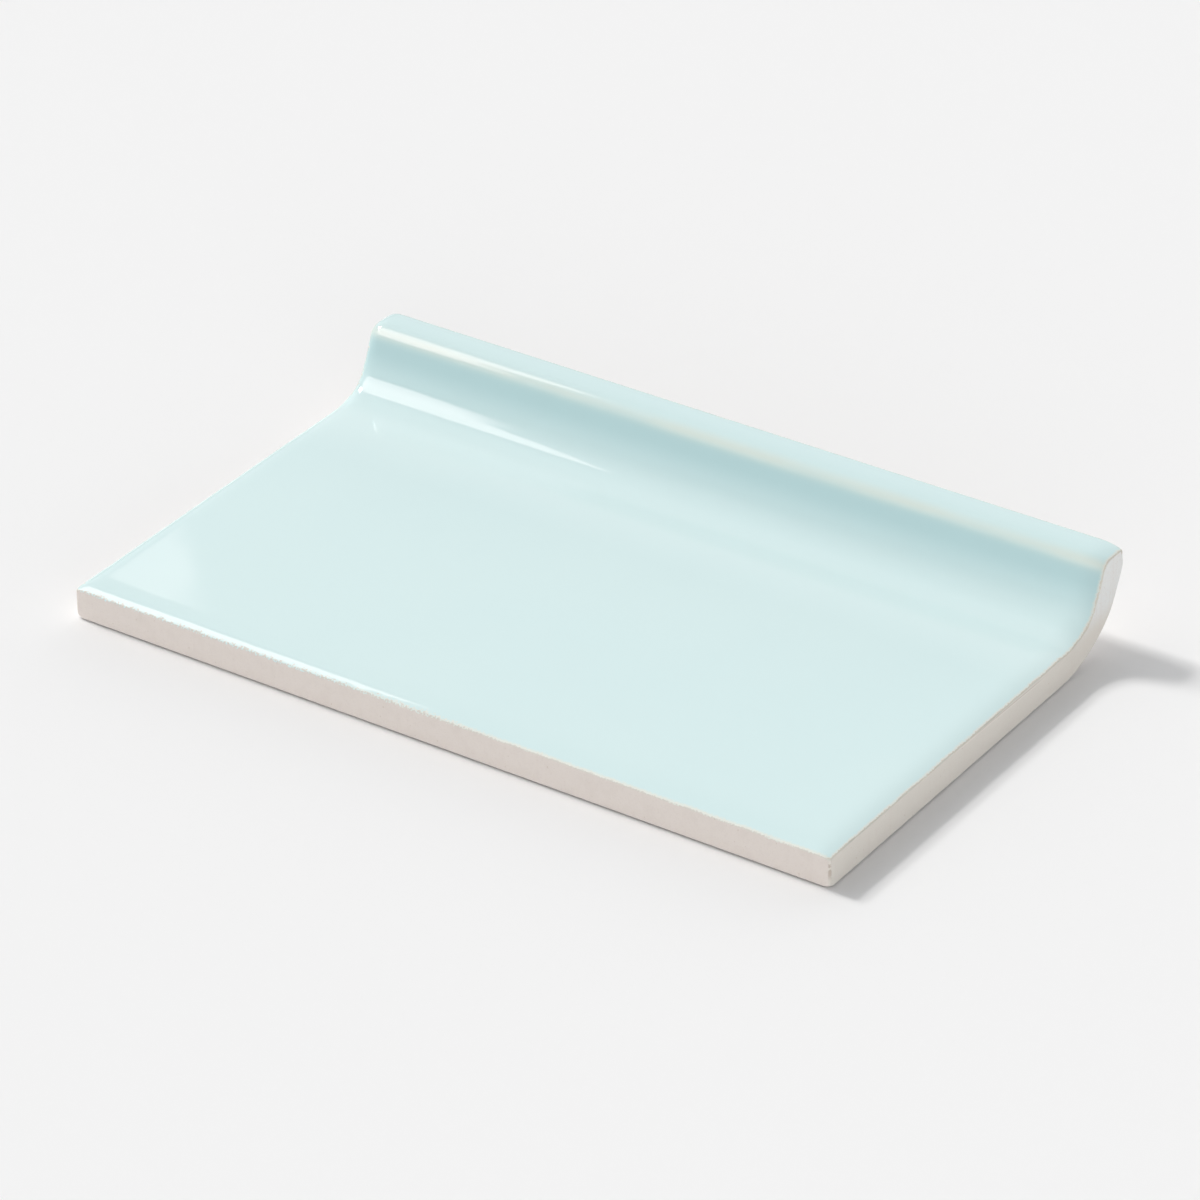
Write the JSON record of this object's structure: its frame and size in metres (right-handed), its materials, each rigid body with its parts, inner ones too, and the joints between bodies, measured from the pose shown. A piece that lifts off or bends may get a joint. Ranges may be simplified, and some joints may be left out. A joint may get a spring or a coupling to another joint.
{
  "type": "cove base tile",
  "caption": "Glazed ceramic wall trim tile whose lower edge curves out in a concave cove to a narrow toe that meets the floor.",
  "frame": {"origin": "under the middle of the tile as it lies on its back: centre of its length and height, at the level of the flat back", "axes": "+X along the wall, +Y from the plain upper edge towards the toe, +Z out of the glazed face"},
  "size_m": [0.1492, 0.0922, 0.018],
  "materials": {
    "glazed_body": "gloss"
  },
  "bodies": {
    "root": {"cove_base_tile": "glazed_body"}
  },
  "joints": []
}
